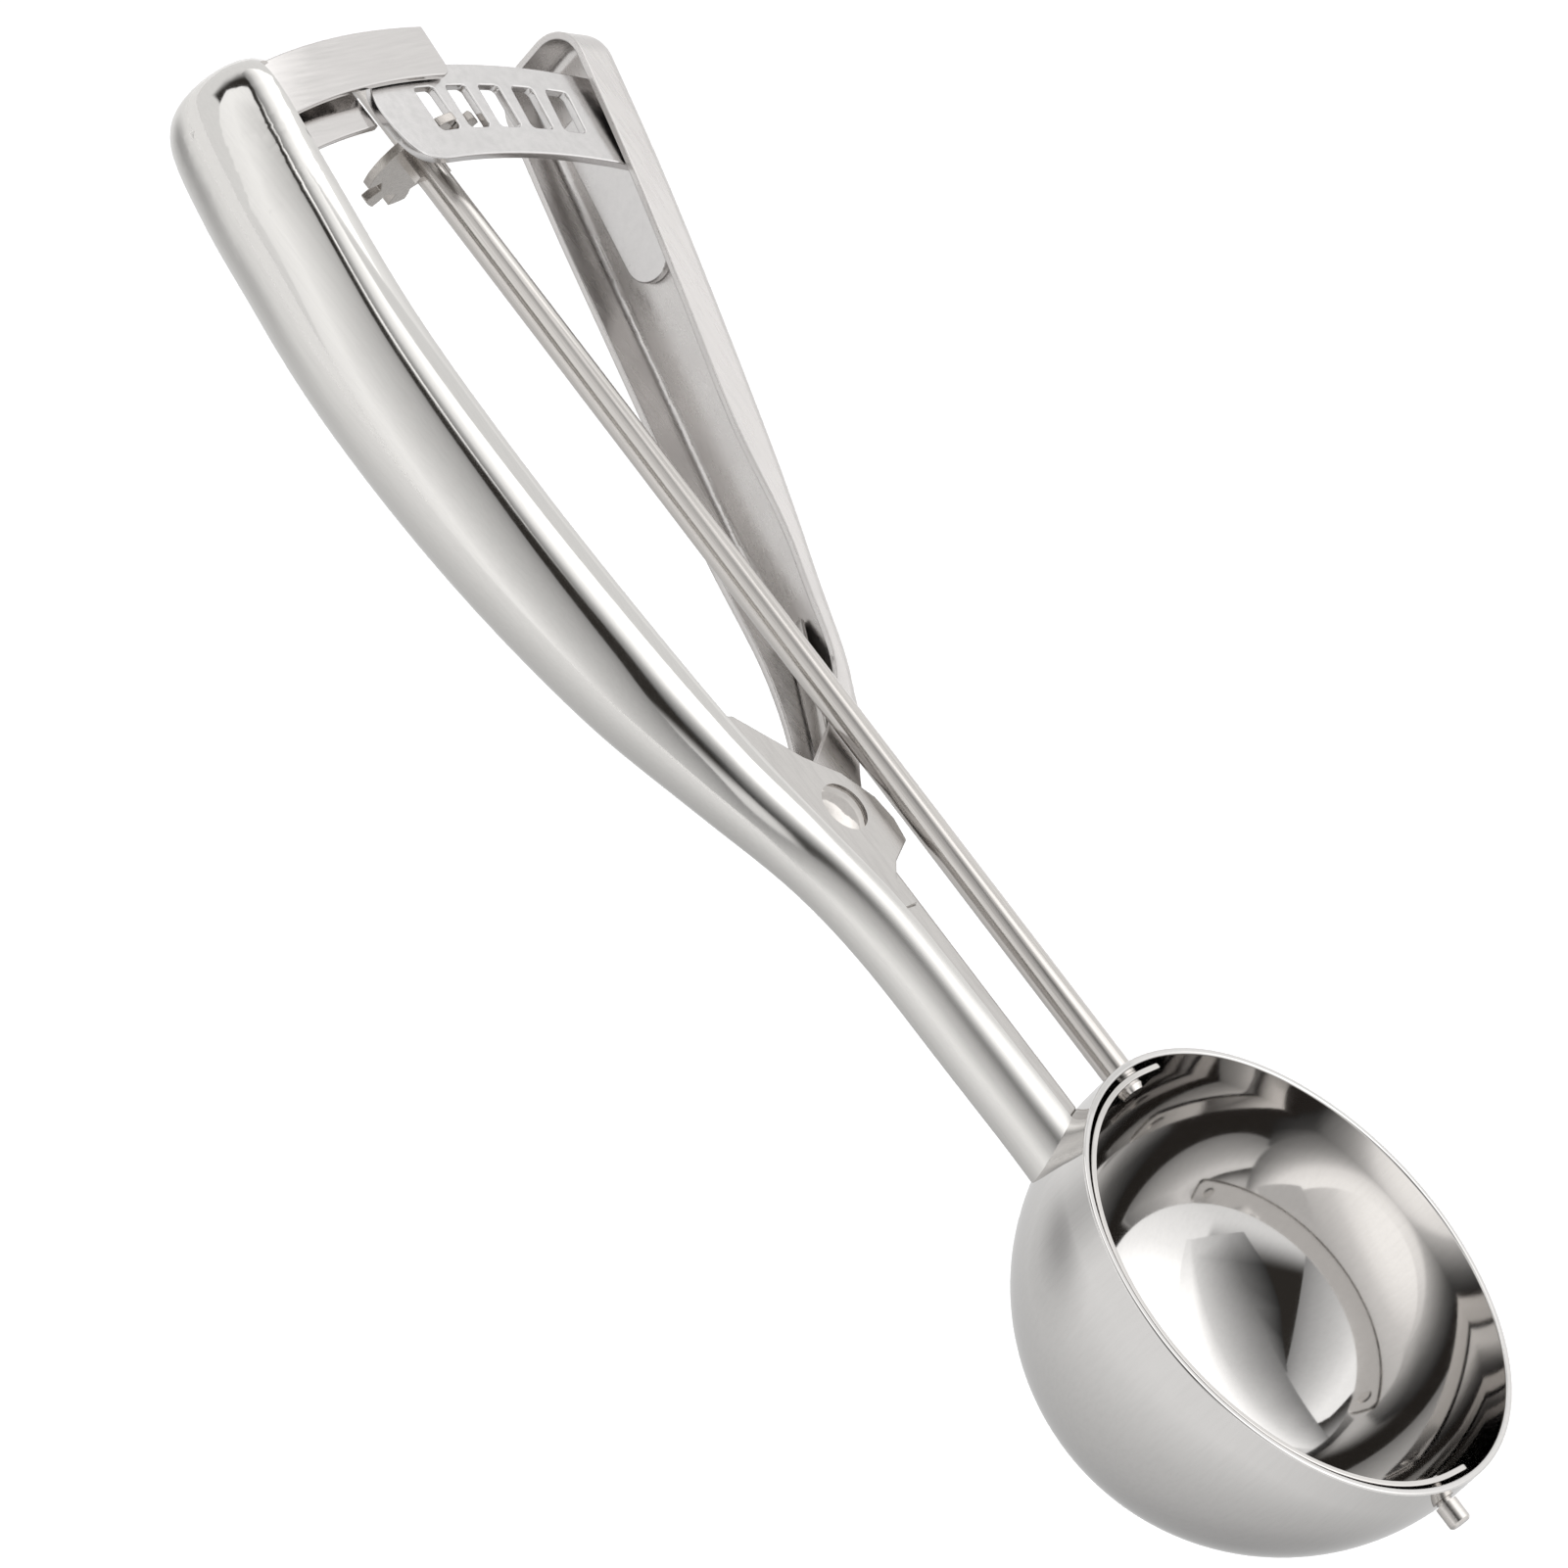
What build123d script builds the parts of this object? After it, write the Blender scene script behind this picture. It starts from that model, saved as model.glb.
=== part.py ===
from build123d import *
import os
from math import acos, asin, atan2, cos, degrees, hypot, pi, radians, sin, sqrt

# A trigger ice cream scoop of pressed stainless sheet. Squeezing the lever swings a windowed rack,
# the rack turns a slotted pinion on the drive rod, and the rod sweeps a scraper band round the bowl.
# The origin is the centre of the bowl's rim and +Z points out of the bowl's mouth.
# +X runs along the drive rod to the handles, with the main handle on the +Y side of the rod.

# Bowl: a half ball with a short straight rim above it
bowl_diameter = 64.0
bowl_wall = 0.9
rim_height = 4.0
rim_round = 0.3

# Clearances of turning, sliding and seated pieces
running_clearance = 0.1
sliding_clearance = 0.3
seat_clearance = 0.1

# Drive rod: thin tail riveted to the scraper, main length, thinner top in the pinion and guide
rod_diameter = 4.0
rod_tail_diameter = 2.4
rod_top_diameter = 3.0
rod_top_overrun = 0.8
rivet_flare = 0.55
rivet_height = 0.7
rivet_taper = 25.0
key_width = 6.4
key_thickness = 1.1
key_length = 2.4

# Scraper band, and the headed pin on its far end
scraper_gap = 0.4
scraper_thickness = 0.8
scraper_width = 7.0
scraper_tab = 4.0
scraper_corner = 1.5
pin_diameter = 2.0
pin_head_diameter = 2.9
pin_head_length = 3.0
pin_chamfer = 0.3

# Lever pivot: a rivet parallel to Z beside the rod
pivot_x = 76.75
pivot_y = 9.85
pivot_diameter = 4.0
pivot_head_diameter = 6.8
pivot_head_height = 0.9
ear_radius = 4.6

# Rack plate: windows on an arc about the pivot, and a tongue on the lever's floor
rack_radius = 101.6
rack_bar_spacing = 5.76
rack_bar = 2.1
rack_thickness = 1.2
rack_inner_margin = 7.6
rack_outer_margin = 6.7
rack_window_length = 6.7
rack_window_round = 0.7
rack_window_count = 5
rack_first_window = -4.5
rack_nose_lead = 8.37
rack_bend = 1.5
tongue_width = 8.0
tongue_reach = 12.0

# Pinion: a disc with room for eight rack bars, one of them left solid
pinion_places = 8
pinion_thickness = 1.2
pinion_setback = 1.7
pinion_addendum = 1.2
pinion_dedendum = 1.15
pinion_root_ease = 0.15
pinion_middle_ease = 0.35
pinion_tip_ease = 1.05

# Rack guide: a bent sheet channel between the main handle and the rod's top end
guide_thickness = 1.0
guide_overlap = 2.7
guide_headroom = 4.1
guide_bend = 2.0
guide_end_round = 1.6
guide_free_y = -4.5
guide_root_y = 33.5
guide_back_y = 12.5
guide_back_depth = 12.0
guide_tab_half_width = 5.0
guide_tab_drop = 3.5

# Main handle: a slotted tube of pressed sheet. Each section gives x and y of its centre,
# half depth along Y, half width along Z, and how far the slot's lips stand from its centre.
# The last one is the foot of the dome, which closes the tube just past the rack's arc.
dome_setback = 4.35
handle_wall = 1.0
handle_mid_z = -9.2
handle_rise_start = 74.0
handle_rise = 0.075
handle_sections = [
    (22.0, 12.3, 4.75, 4.6, 0.0),
    (44.0, 12.7, 4.75, 4.6, 0.0),
    (61.0, 13.3, 4.75, 4.6, 0.0),
    (73.0, 15.9, 4.8, 4.65, 0.3),
    (86.0, 21.8, 5.7, 5.55, 0.8),
    (102.0, 27.7, 7.25, 7.05, 1.2),
    (125.0, 33.0, 8.4, 8.15, 1.5),
    (150.0, 35.4, 8.9, 8.6, 1.6),
    (pivot_x + rack_radius - dome_setback, 33.7, 8.85, 8.75, 1.6),
]
dome_length = 16.0
dome_drift = -2.6
dome_power = 4.7
dome_shares = [0.35, 0.62, 0.8, 0.9, 0.96, 0.985, 0.997]
handle_steps = 18

# Pivot bracket: a U channel in the neck's slot, with two ears for the rivet.
# The ears' outline is measured from the pivot and starts at the neck, on the rod's side.
bracket_thickness = 1.0
bracket_neck_half = 3.3
bracket_ear_half = 3.9
bracket_floor_y = 8.0
bracket_top_y = 14.2
bracket_corner = 0.9
ear_low_edge = [(-14.75, -0.15), (-11.15, 0.55), (-8.85, -1.85), (-6.75, -6.25)]
ear_pass_x = -3.55
ear_grip_edge = [(-0.05, -6.45), (4.35, -3.75), (7.85, 0.55), (15.75, 7.25), (17.75, 14.15)]
ear_neck_edge = [(6.25, 9.75), (-2.75, 6.35), (-14.75, 3.35)]
rod_pass_gap = 0.9

# Lever: a pressed channel, open towards the rod. Lengths along it start at the pivot.
# The sides give Z against length, and the other edges give the height over the pivot against length.
lever_wall = 1.0
lever_angle = 16.46
lever_ear_half = 2.8
lever_ear_length = 24.0
lever_joggle_start = 15.0
lever_floor_depth = 14.2
lever_lip_depth = 7.6
lever_lip_start = 62.0
lever_end_margin = 9.0
lever_end_round = 6.0
lever_end_flare = 1.5
lever_end_low_z = -9.4
lever_corner = 2.2
lever_rack_side = [(21.0, -5.0), (31.0, -3.15), (41.0, -1.4), (62.0, 1.6)]
lever_plain_side = [(90.0, -11.2), (62.0, -12.5), (42.0, -12.9)]
lever_shoulder = (7.9, -0.6)
lever_plain_edge = [(15.3, -4.2), (34.0, -6.7)]
lever_rod_edge = [(14.0, -6.7), (17.0, -9.2), (20.0, -10.4), (30.0, -10.8), (40.0, -10.3), (48.0, -8.9)]
lever_heel_length = 24.0
lever_heel_edge = [(16.0, -12.9), (8.5, -8.6)]

# Leaf spring round the rivet, between the lever's ears
spring_thickness = 0.6
spring_width = 3.0
spring_lever_reach = 31.0
spring_handle_x = 103.0

# Sizes that follow from the driving dimensions
bowl_radius = bowl_diameter / 2
bowl_inside = bowl_radius - bowl_wall
axis_z = -rim_height
scraper_radius = sqrt((bowl_inside - scraper_gap) ** 2 - (scraper_width / 2) ** 2)
scraper_inside = scraper_radius - scraper_thickness
pinion_mesh_radius = pinion_places * rack_bar_spacing / (2 * pi)
pinion_radius = pinion_mesh_radius + pinion_addendum
rack_mid_z = axis_z + pinion_mesh_radius
rack_low_z = rack_mid_z - rack_thickness / 2
rack_high_z = rack_mid_z + rack_thickness / 2
rack_inner_radius = rack_radius - rack_inner_margin
rack_outer_radius = rack_radius + rack_outer_margin
rack_bar_angle = degrees(rack_bar_spacing / rack_radius)
mesh_angle = -degrees(asin(pivot_y / rack_radius))
pinion_mid_x = pivot_x + rack_radius * cos(radians(mesh_angle))
pinion_low_x = pinion_mid_x - pinion_setback - pinion_thickness / 2
guide_front_z = rack_high_z + sliding_clearance
guide_back_z = rack_low_z - sliding_clearance
guide_inner_radius = rack_outer_radius + guide_headroom
guide_outer_radius = guide_inner_radius + guide_thickness
guide_top_x = pivot_x + sqrt(guide_outer_radius**2 - pivot_y**2)
ear_top_z = handle_mid_z + bracket_ear_half
ear_low_z = handle_mid_z - bracket_ear_half
lever_top_z = handle_mid_z + lever_ear_half
lever_low_z = handle_mid_z - lever_ear_half
lever_floor_inside = lever_floor_depth - lever_wall
tall = 60.0


def axis_plane(x):
    """Plane across the drive axis at x: local x is +Y and local y is +Z."""
    return Plane(origin=(x, 0, axis_z), x_dir=(0, 1, 0), z_dir=(1, 0, 0))


def pivot_plane(z):
    """Level plane at height z with its origin on the pivot."""
    return Plane(origin=(pivot_x, pivot_y, z))


def radial_plane(angle):
    """Upright plane through the pivot: local x is the distance from it and local y is +Z."""
    turn = radians(angle)
    return Plane(
        origin=(pivot_x, pivot_y, 0),
        x_dir=(cos(turn), sin(turn), 0),
        z_dir=(sin(turn), -cos(turn), 0),
    )


def lever_plane(depth):
    """Plane along the lever, depth below the pivot: local x runs to its free end, local y is +Z."""
    turn = radians(lever_angle)
    return Plane(
        origin=(pivot_x - depth * sin(turn), pivot_y - depth * cos(turn), 0),
        x_dir=(cos(turn), -sin(turn), 0),
        z_dir=(-sin(turn), -cos(turn), 0),
    )


def lever_side_plane(z):
    """Level plane on the pivot: local x runs along the lever, local y points to the rod."""
    turn = radians(lever_angle)
    return Plane(origin=(pivot_x, pivot_y, z), x_dir=(cos(turn), -sin(turn), 0), z_dir=(0, 0, 1))


def polar(radius, angle):
    """Point on a plane whose origin is the pivot."""
    return (radius * cos(radians(angle)), radius * sin(radians(angle)))


def angle_at(radius, y):
    """Angle about the pivot of a point at this radius and this y in the part's frame."""
    return degrees(asin((y - pivot_y) / radius))


def handle_z(x):
    """Height of the main handle's middle, which rises along the grip."""
    return handle_mid_z + handle_rise * max(0, x - handle_rise_start)


def handle_slope(index, column):
    """Slope of one column of the handle's sections at a section, from its two neighbours."""
    before = handle_sections[max(0, index - 1)]
    after = handle_sections[min(len(handle_sections) - 1, index + 1)]
    return (after[column] - before[column]) / (after[0] - before[0])


def handle_value(x, column):
    """One column of the handle's sections at x, on a smooth curve through the sections."""
    index = max(i for i, row in enumerate(handle_sections[:-1]) if row[0] <= x)
    low = handle_sections[index]
    high = handle_sections[index + 1]
    span = high[0] - low[0]
    t = (x - low[0]) / span
    start = low[column] * (1 + 2 * t) * (1 - t) ** 2 + high[column] * t**2 * (3 - 2 * t)
    lean_low = handle_slope(index, column) * span * t * (1 - t) ** 2
    lean_high = handle_slope(index + 1, column) * span * t**2 * (t - 1)
    return start + lean_low + lean_high


def handle_stations():
    """Evenly spaced x places along the handle, from the neck to the foot of the dome."""
    first = handle_sections[0][0]
    last = handle_sections[-1][0]
    return [first + (last - first) * i / handle_steps for i in range(handle_steps + 1)]


def handle_outline(inset):
    """Handle sections from the neck to the tip of the dome, drawn in by the inset."""
    for x in handle_stations():
        yield x, handle_value(x, 1), handle_value(x, 2) - inset, handle_value(x, 3) - inset
    x, y, half_depth, half_width, _ = handle_sections[-1]
    for share in dome_shares:
        shrink = (1 - share**dome_power) ** (1 / dome_power)
        along = share * (dome_length - inset)
        drift = share * dome_drift
        yield x + along, y + drift, (half_depth - inset) * shrink, (half_width - inset) * shrink


os.makedirs("parts", exist_ok=True)
pivot_axis = Axis((pivot_x, pivot_y, 0), (0, 0, 1))

# Solid of the bowl's outside, which the neck and the bracket are trimmed to
with BuildPart() as bowl_blank:
    with BuildSketch(Plane.XZ):
        with BuildLine():
            CenterArc((0, axis_z), bowl_radius, 0, -90)
            Polyline((bowl_radius, axis_z), (bowl_radius, 0), (0, 0), (0, axis_z - bowl_radius))
        make_face()
    revolve(axis=Axis.Z)

# Bowl, with a hole in its wall at each end of the drive axis
with BuildPart() as bowl:
    add(bowl_blank.part)
    with BuildSketch(Plane.XZ):
        with BuildLine():
            CenterArc((0, axis_z), bowl_inside, 0, -90)
            Polyline((bowl_inside, axis_z), (bowl_inside, 0), (0, 0), (0, axis_z - bowl_inside))
        make_face()
    revolve(axis=Axis.Z, mode=Mode.SUBTRACT)
    fillet(bowl.edges().group_by(Axis.Z)[-1], radius=rim_round)
    with BuildSketch(axis_plane(0)):
        Circle(rod_diameter / 2 + running_clearance)
    extrude(amount=bowl_diameter, mode=Mode.SUBTRACT)
    with BuildSketch(axis_plane(0)):
        Circle(pin_diameter / 2 + running_clearance)
    extrude(amount=-bowl_diameter, mode=Mode.SUBTRACT)
bowl.part.label = "bowl"
export_step(bowl.part, "parts/bowl.step")

# Scraper: a half-round band whose flat end tabs run past the drive axis
with BuildPart() as scraper:
    with BuildSketch(Plane.XY.offset(axis_z - scraper_width / 2)):
        with BuildLine():
            CenterArc((0, 0), scraper_radius, 0, 180)
            Line((-scraper_radius, 0), (-scraper_radius, -scraper_tab))
            Line((-scraper_radius, -scraper_tab), (-scraper_inside, -scraper_tab))
            Line((-scraper_inside, -scraper_tab), (-scraper_inside, 0))
            CenterArc((0, 0), scraper_inside, 180, -180)
            Line((scraper_inside, 0), (scraper_inside, -scraper_tab))
            Line((scraper_inside, -scraper_tab), (scraper_radius, -scraper_tab))
            Line((scraper_radius, -scraper_tab), (scraper_radius, 0))
        make_face()
    extrude(amount=scraper_width)
    tab_ends = scraper.edges().filter_by(Axis.X).group_by(Axis.Y)[0]
    fillet(tab_ends, radius=scraper_corner)
    with BuildSketch(axis_plane(0)):
        Circle(rod_tail_diameter / 2)
    extrude(amount=bowl_diameter, mode=Mode.SUBTRACT)
    with BuildSketch(axis_plane(0)):
        Circle(pin_diameter / 2)
    extrude(amount=-bowl_diameter, mode=Mode.SUBTRACT)
scraper.part.label = "scraper"
export_step(scraper.part, "parts/scraper.step")

# Scraper pin: riveted into the far tab, through the bowl's wall, with a plain head outside
pin_head_x = -(bowl_radius + sliding_clearance)
with BuildPart() as scraper_pin:
    with BuildSketch(axis_plane(-scraper_inside)):
        Circle(pin_diameter / 2)
    extrude(amount=pin_head_x + scraper_inside)
    with BuildSketch(axis_plane(-scraper_inside)):
        Circle(pin_diameter / 2 + rivet_flare)
    extrude(amount=rivet_height, taper=rivet_taper)
    with BuildSketch(axis_plane(pin_head_x)):
        Circle(pin_head_diameter / 2)
    extrude(amount=-pin_head_length)
    chamfer(scraper_pin.edges().group_by(Axis.X)[0], length=pin_chamfer)
    add(scraper.part, mode=Mode.SUBTRACT)
scraper_pin.part.label = "scraper_pin"
export_step(scraper_pin.part, "parts/scraper_pin.step")

# Drive rod: riveted into the near tab, shouldered under the pinion, with its top end in the guide
key_x = pinion_low_x - key_length
with BuildPart() as drive_rod:
    with BuildSketch(axis_plane(scraper_radius)):
        Circle(rod_diameter / 2)
    extrude(amount=pinion_low_x - scraper_radius)
    with BuildSketch(axis_plane(scraper_inside)):
        Circle(rod_tail_diameter / 2)
    extrude(amount=scraper_thickness)
    with BuildSketch(axis_plane(scraper_inside)):
        Circle(rod_tail_diameter / 2 + rivet_flare)
    extrude(amount=-rivet_height, taper=rivet_taper)
    with BuildSketch(axis_plane(pinion_low_x)):
        Circle(rod_top_diameter / 2)
    extrude(amount=guide_top_x + rod_top_overrun - pinion_low_x)
    chamfer(drive_rod.edges().group_by(Axis.X)[-1], length=pin_chamfer)
    with BuildSketch(axis_plane(key_x)):
        Rectangle(key_width, key_thickness)
    extrude(amount=key_length)
    add(scraper.part, mode=Mode.SUBTRACT)
drive_rod.part.label = "drive_rod"
export_step(drive_rod.part, "parts/drive_rod.step")

# Pinion: slots that the rack's bars drop into, placed so that the first bar is in mesh at rest
first_bar = rack_first_window - rack_bar_angle / 2
bar_lag = radians(mesh_angle - first_bar) * rack_radius / pinion_mesh_radius
place_angle = 360 / pinion_places
first_slot = 90 + degrees(bar_lag) - place_angle
slot_root = pinion_mesh_radius - pinion_dedendum
slot_mouth = pinion_radius + sliding_clearance
root_half = rack_bar / 2 + pinion_root_ease
middle_half = rack_bar / 2 + pinion_middle_ease
tip_half = rack_bar / 2 + pinion_tip_ease
with BuildPart() as pinion:
    with BuildSketch(axis_plane(pinion_low_x)):
        Circle(pinion_radius)
        Circle(rod_top_diameter / 2, mode=Mode.SUBTRACT)
        slots = pinion_places - 1
        with PolarLocations(0, slots, first_slot, place_angle * (slots - 1), endpoint=True):
            Polygon(
                (slot_root, -root_half),
                (pinion_mesh_radius, -middle_half),
                (slot_mouth, -tip_half),
                (slot_mouth, tip_half),
                (pinion_mesh_radius, middle_half),
                (slot_root, root_half),
                align=None,
                mode=Mode.SUBTRACT,
            )
    extrude(amount=pinion_thickness)
pinion.part.label = "pinion"
export_step(pinion.part, "parts/pinion.step")

# Rack: a flat plate with a rounded free nose, bent at the lever into a tongue that lies on its floor
tongue_depth = lever_floor_inside - rack_thickness
bend_depth = tongue_depth - rack_bend
bend_z = rack_low_z - rack_bend
bend_low = sqrt(rack_inner_radius**2 - bend_depth**2)
bend_high = sqrt(rack_outer_radius**2 - bend_depth**2)
plate_low_angle = -lever_angle - degrees(asin(bend_depth / rack_inner_radius))
plate_high_angle = -lever_angle - degrees(asin(bend_depth / rack_outer_radius))
nose_high = rack_first_window + degrees((rack_bar_spacing - rack_bar) / 2 / rack_radius)
nose_low = nose_high + degrees(rack_bar / 2 / rack_radius)
nose_tip = nose_high + degrees(rack_nose_lead / rack_radius)
last_window = rack_first_window - rack_bar_angle * (rack_window_count - 1)
with BuildPart() as rack:
    with BuildSketch(pivot_plane(rack_low_z)):
        with BuildLine():
            CenterArc((0, 0), rack_outer_radius, plate_high_angle, nose_high - plate_high_angle)
            Spline(
                polar(rack_outer_radius, nose_high),
                polar(rack_radius - rack_bar, nose_tip),
                polar(rack_inner_radius, nose_low),
                tangents=(polar(1, nose_high + 90), polar(1, nose_low - 90)),
            )
            CenterArc((0, 0), rack_inner_radius, nose_low, plate_low_angle - nose_low)
            Line(
                polar(rack_inner_radius, plate_low_angle),
                polar(rack_outer_radius, plate_high_angle),
            )
        make_face()
        with PolarLocations(
            rack_radius,
            rack_window_count,
            last_window,
            rack_bar_angle * (rack_window_count - 1),
            endpoint=True,
        ):
            RectangleRounded(
                rack_window_length,
                rack_bar_spacing - rack_bar,
                rack_window_round,
                mode=Mode.SUBTRACT,
            )
    extrude(amount=rack_thickness)
    # The quarter bend at the lever's wall
    bend_side = lever_plane(bend_depth)
    bend_origin = bend_side.from_local_coords((bend_low, bend_z, 0))
    with BuildSketch(Plane(origin=bend_origin, x_dir=bend_side.z_dir, z_dir=-bend_side.x_dir)):
        with BuildLine():
            CenterArc((0, 0), rack_bend, 0, 90)
            Line((0, rack_bend), (0, rack_bend + rack_thickness))
            CenterArc((0, 0), rack_bend + rack_thickness, 90, -90)
            Line((rack_bend + rack_thickness, 0), (rack_bend, 0))
        make_face()
    extrude(amount=-(bend_high - bend_low))
    # The tongue, with its round end towards the bowl
    with BuildSketch(lever_plane(tongue_depth)):
        tongue_low_z = bend_z - tongue_width
        round_u = bend_low - tongue_reach + tongue_width / 2
        with BuildLine():
            Line((bend_high, bend_z), (bend_high, tongue_low_z))
            Line((bend_high, tongue_low_z), (round_u, tongue_low_z))
            ThreePointArc(
                (round_u, tongue_low_z),
                (round_u - tongue_width / 2, bend_z - tongue_width / 2),
                (round_u, bend_z),
            )
            Line((round_u, bend_z), (bend_high, bend_z))
        make_face()
    extrude(amount=rack_thickness)
rack.part.label = "rack"
export_step(rack.part, "parts/rack.step")

# Rack guide: front sheet over the rack, top wall with a bearing tab for the rod, back sheet behind the rack
guide_low_radius = rack_outer_radius - guide_overlap
guide_front_top = guide_front_z + guide_thickness
guide_back_low = guide_back_z - guide_thickness
free_angle = angle_at(guide_outer_radius, guide_free_y)
root_angle = angle_at(guide_outer_radius, guide_root_y)
back_angle = angle_at(guide_outer_radius, guide_back_y)
tab_low_angle = angle_at(guide_outer_radius, -guide_tab_half_width)
tab_high_angle = angle_at(guide_outer_radius, guide_tab_half_width)
with BuildPart() as rack_guide:
    with BuildSketch(radial_plane(free_angle)) as guide_front:
        with BuildLine():
            Polyline(
                (guide_low_radius, guide_front_z),
                (guide_inner_radius, guide_front_z),
                (guide_inner_radius, guide_back_z),
                (guide_outer_radius, guide_back_z),
                (guide_outer_radius, guide_front_top),
                (guide_low_radius, guide_front_top),
                close=True,
            )
        make_face()
        inner_corner = guide_front.vertices().group_by(Axis.X)[1].sort_by(Axis.Y)[-1]
        outer_corner = guide_front.vertices().group_by(Axis.X)[-1].sort_by(Axis.Y)[-1]
        fillet(inner_corner, radius=guide_bend - guide_thickness)
        fillet(outer_corner, radius=guide_bend)
    revolve(axis=pivot_axis, revolution_arc=root_angle - free_angle)
    free_corner = radial_plane(free_angle).from_local_coords((guide_low_radius, guide_front_z, 0))
    fillet(rack_guide.edges().filter_by(Axis.Z).sort_by_distance(free_corner)[0], radius=guide_end_round)
    with BuildSketch(radial_plane(back_angle)):
        with BuildLine():
            Polyline(
                (guide_outer_radius - guide_back_depth, guide_back_z),
                (guide_outer_radius, guide_back_z),
                (guide_outer_radius, guide_back_low),
                (guide_outer_radius - guide_back_depth, guide_back_low),
                close=True,
            )
        make_face()
    revolve(axis=pivot_axis, revolution_arc=root_angle - back_angle)
    with BuildSketch(radial_plane(tab_low_angle)):
        with BuildLine():
            Polyline(
                (guide_inner_radius, guide_back_z),
                (guide_outer_radius, guide_back_z),
                (guide_outer_radius, axis_z - guide_tab_drop),
                (guide_inner_radius, axis_z - guide_tab_drop),
                close=True,
            )
        make_face()
    revolve(axis=pivot_axis, revolution_arc=tab_high_angle - tab_low_angle)
    with BuildSketch(axis_plane(pinion_mid_x)):
        Circle(rod_top_diameter / 2 + running_clearance)
    extrude(amount=tall, mode=Mode.SUBTRACT)
rack_guide.part.label = "rack_guide"
export_step(rack_guide.part, "parts/rack_guide.step")

# Pivot bracket: a channel in the neck's slot that widens into two ears
neck_end_x = pivot_x - ear_radius - sliding_clearance
rod_pass_y = rod_diameter / 2 + rod_pass_gap
bracket_plane = Plane(origin=(0, 0, handle_mid_z), x_dir=(0, 1, 0), z_dir=(1, 0, 0))
ear_pass = (ear_pass_x, rod_pass_y - pivot_y)
ear_outline = [*ear_low_edge, ear_pass, *ear_grip_edge, *ear_neck_edge]
with BuildPart() as pivot_bracket:
    with BuildSketch(bracket_plane) as bracket_section:
        with BuildLine():
            Polyline(
                (bracket_floor_y, -bracket_neck_half),
                (bracket_top_y, -bracket_neck_half),
                (bracket_top_y, bracket_thickness - bracket_neck_half),
                (bracket_floor_y + bracket_thickness, bracket_thickness - bracket_neck_half),
                (bracket_floor_y + bracket_thickness, bracket_neck_half - bracket_thickness),
                (bracket_top_y, bracket_neck_half - bracket_thickness),
                (bracket_top_y, bracket_neck_half),
                (bracket_floor_y, bracket_neck_half),
                close=True,
            )
        make_face()
        fillet(bracket_section.vertices().group_by(Axis.X)[0], radius=bracket_corner)
    extrude(amount=neck_end_x)
    for ear_z in (ear_low_z, ear_top_z - bracket_thickness):
        with BuildSketch(pivot_plane(ear_z)):
            with BuildLine():
                Polyline(*ear_outline, close=True)
            make_face()
            Circle(pivot_diameter / 2, mode=Mode.SUBTRACT)
        extrude(amount=bracket_thickness)
    add(bowl_blank.part, mode=Mode.SUBTRACT)
pivot_bracket.part.label = "pivot_bracket"
export_step(pivot_bracket.part, "parts/pivot_bracket.step")

# Pivot rivet: a shank through both pairs of ears, with a domed head at each end
with BuildPart() as pivot_rivet:
    with BuildSketch(radial_plane(0)):
        with BuildLine():
            Line((0, ear_low_z - pivot_head_height), (0, ear_top_z + pivot_head_height))
            for face_z, outward in ((ear_top_z, 1), (ear_low_z, -1)):
                RadiusArc(
                    (0, face_z + outward * pivot_head_height),
                    (pivot_head_diameter / 2, face_z),
                    outward * (pivot_head_diameter**2 / 8 + pivot_head_height**2 / 2) / pivot_head_height,
                )
                Line((pivot_head_diameter / 2, face_z), (pivot_diameter / 2, face_z))
            Line((pivot_diameter / 2, ear_top_z), (pivot_diameter / 2, ear_low_z))
        make_face()
    revolve(axis=pivot_axis)
pivot_rivet.part.label = "pivot_rivet"
export_step(pivot_rivet.part, "parts/pivot_rivet.step")

# Main handle: tube, slot towards the lever, trimmed where it is welded to the bowl, bracket and guide
lip_line = [(x, handle_value(x, 1) - handle_value(x, 4)) for x in handle_stations()]
slot_radius = guide_inner_radius + guide_thickness / 2
slot_end_y = lip_line[-1][1] + dome_drift / 2
slot_end = (pivot_x + sqrt(slot_radius**2 - (slot_end_y - pivot_y) ** 2), slot_end_y)
slot_mid = (pivot_x + slot_radius, pivot_y)
slot_foot = (pivot_x + sqrt(slot_radius**2 - (slot_end_y - pivot_y) ** 2), 2 * pivot_y - slot_end_y)
with BuildPart() as main_handle:
    for inset, effect in ((0, Mode.ADD), (handle_wall, Mode.SUBTRACT)):
        for x, y, half_depth, half_width in handle_outline(inset):
            section_plane = Plane(origin=(x, y, handle_z(x)), x_dir=(0, 1, 0), z_dir=(1, 0, 0))
            with BuildSketch(section_plane):
                Ellipse(half_depth, half_width)
        loft(mode=effect)
    with BuildSketch(Plane.XY.offset(-tall)):
        with BuildLine():
            Spline(*lip_line, slot_end)
            ThreePointArc(slot_end, slot_mid, slot_foot)
            Polyline(slot_foot, (slot_foot[0], -tall), (lip_line[0][0], -tall), lip_line[0])
        make_face()
    extrude(amount=2 * tall, mode=Mode.SUBTRACT)
    add(bowl_blank.part, mode=Mode.SUBTRACT)
    add(rack_guide.part, mode=Mode.SUBTRACT)
    add(pivot_bracket.part, mode=Mode.SUBTRACT)
main_handle.part.label = "main_handle"
export_step(main_handle.part, "parts/main_handle.step")

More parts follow.
